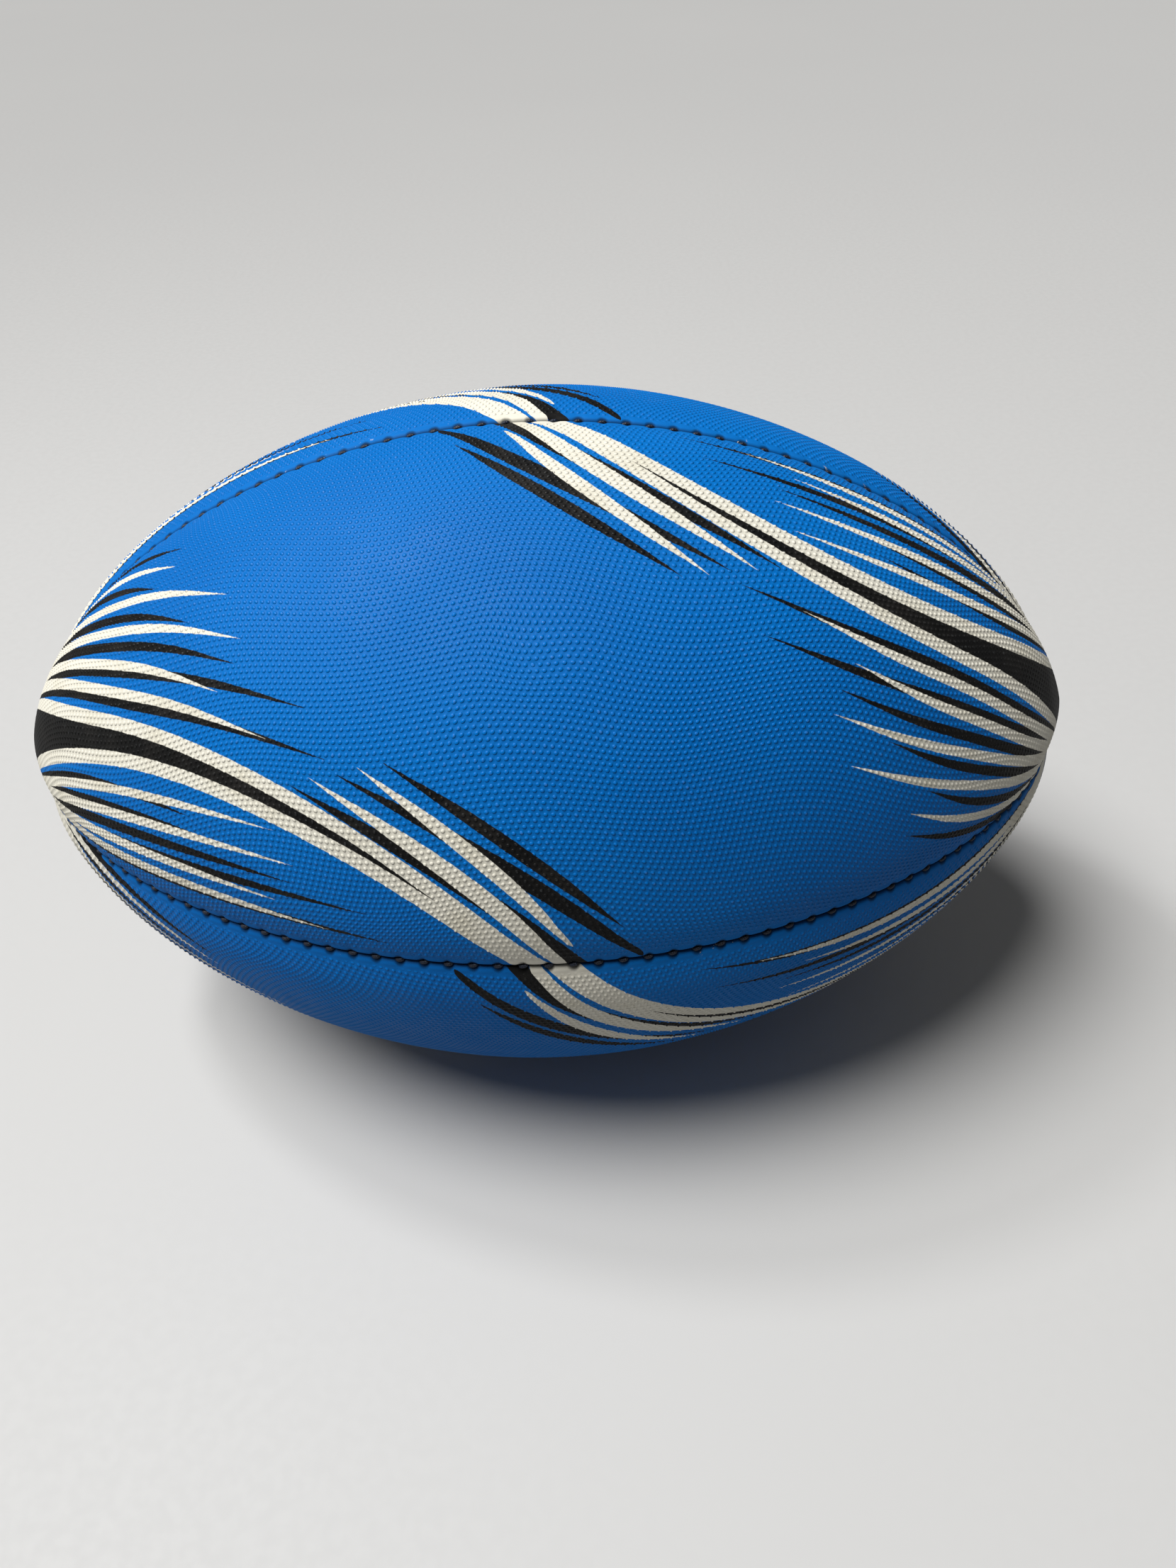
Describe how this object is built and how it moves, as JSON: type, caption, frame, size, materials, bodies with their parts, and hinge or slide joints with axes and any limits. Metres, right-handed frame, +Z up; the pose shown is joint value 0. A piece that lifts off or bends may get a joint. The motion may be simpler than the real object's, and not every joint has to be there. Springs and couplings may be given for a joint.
{
  "type": "rugby ball",
  "caption": "Oval training ball with pimpled rubber panels stitched along recessed seams over a laminated lining, an air bladder and a needle valve.",
  "frame": {"origin": "on the floor under the ball's centre, at the bottom of its box", "axes": "+X along the ball's long axis, +Z up with a seam at the top and the bottom, -Y towards the front seam"},
  "size_m": [0.2752, 0.1768, 0.1765],
  "materials": {
    "panel_rubber": "pimpled satin rubber, blue with printed cream and black brush streaks",
    "panel_laminate": "woven polyester and cotton plies, glued in layers",
    "seam_thread": "waxed twisted polyester thread",
    "bladder_rubber": "smooth matte butyl rubber",
    "valve_rubber": "moulded satin black rubber",
    "valve_core_rubber": "moulded soft black rubber"
  },
  "bodies": {
    "root": {"front_upper_panel_skin": "panel_rubber", "front_upper_panel_backing": "panel_laminate", "front_lower_panel_skin": "panel_rubber", "front_lower_panel_backing": "panel_laminate", "back_lower_panel_skin": "panel_rubber", "back_lower_panel_backing": "panel_laminate", "back_upper_panel_skin": "panel_rubber", "back_upper_panel_backing": "panel_laminate", "top_seam_thread": "seam_thread", "front_seam_thread": "seam_thread", "bottom_seam_thread": "seam_thread", "back_seam_thread": "seam_thread", "air_bladder": "bladder_rubber", "valve_body": "valve_rubber", "valve_core": "valve_core_rubber"}
  },
  "joints": []
}
